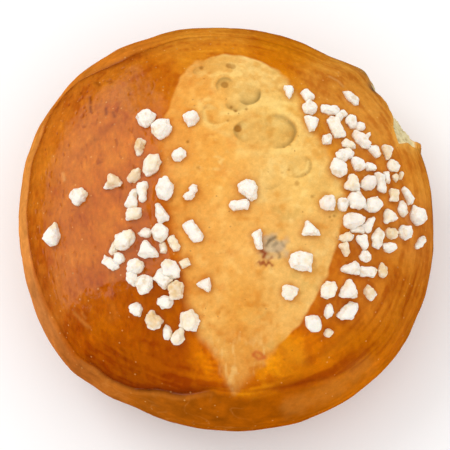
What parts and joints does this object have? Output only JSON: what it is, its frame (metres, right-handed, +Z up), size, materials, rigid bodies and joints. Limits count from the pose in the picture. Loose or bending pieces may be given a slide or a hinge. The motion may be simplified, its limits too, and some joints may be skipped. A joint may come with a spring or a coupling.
{
  "type": "bread roll",
  "caption": "Round egg-glazed sweet bread roll with pearl sugar baked onto its domed top and a flat spot underneath to rest on.",
  "frame": {"origin": "middle of the bounding box at its bottom, on the flat spot that the roll rests on", "axes": "+Z up through the dome, +X to the side where most of the sugar lies, -Y to the side with the deep shoulder crease"},
  "size_m": [0.0994, 0.0978, 0.05],
  "materials": {
    "crust": "golden to dark brown baked crust with a glossy egg glaze on the dome and a bare matte side",
    "sugar": "opaque white pearl sugar, satin, some grains toasted cream to tan"
  },
  "bodies": {
    "root": {"roll": "crust", "sugar_left_01": "sugar", "sugar_left_02": "sugar", "sugar_left_03": "sugar", "sugar_left_04": "sugar", "sugar_left_05": "sugar", "sugar_left_06": "sugar", "sugar_left_07": "sugar", "sugar_left_08": "sugar", "sugar_left_09": "sugar", "sugar_left_10": "sugar", "sugar_left_11": "sugar", "sugar_left_12": "sugar", "sugar_left_13": "sugar", "sugar_left_14": "sugar", "sugar_left_15": "sugar", "sugar_left_16": "sugar", "sugar_left_17": "sugar", "sugar_left_18": "sugar", "sugar_left_19": "sugar", "sugar_left_20": "sugar", "sugar_left_21": "sugar", "sugar_left_22": "sugar", "sugar_middle_01": "sugar", "sugar_middle_02": "sugar", "sugar_middle_03": "sugar", "sugar_middle_04": "sugar", "sugar_middle_05": "sugar", "sugar_right_01": "sugar", "sugar_right_02": "sugar", "sugar_right_03": "sugar", "sugar_right_04": "sugar", "sugar_right_05": "sugar", "sugar_right_06": "sugar", "sugar_right_07": "sugar", "sugar_right_08": "sugar", "sugar_right_09": "sugar", "sugar_right_10": "sugar", "sugar_right_11": "sugar", "sugar_right_12": "sugar", "sugar_right_13": "sugar", "sugar_right_14": "sugar", "sugar_right_15": "sugar", "sugar_right_16": "sugar", "sugar_right_17": "sugar", "sugar_right_18": "sugar", "sugar_right_19": "sugar", "sugar_right_20": "sugar", "sugar_right_21": "sugar", "sugar_right_22": "sugar", "sugar_right_23": "sugar", "sugar_right_24": "sugar", "sugar_right_25": "sugar", "sugar_right_26": "sugar", "sugar_right_27": "sugar", "sugar_right_28": "sugar", "sugar_right_29": "sugar", "sugar_right_30": "sugar", "sugar_right_31": "sugar", "sugar_right_32": "sugar"}
  },
  "joints": []
}
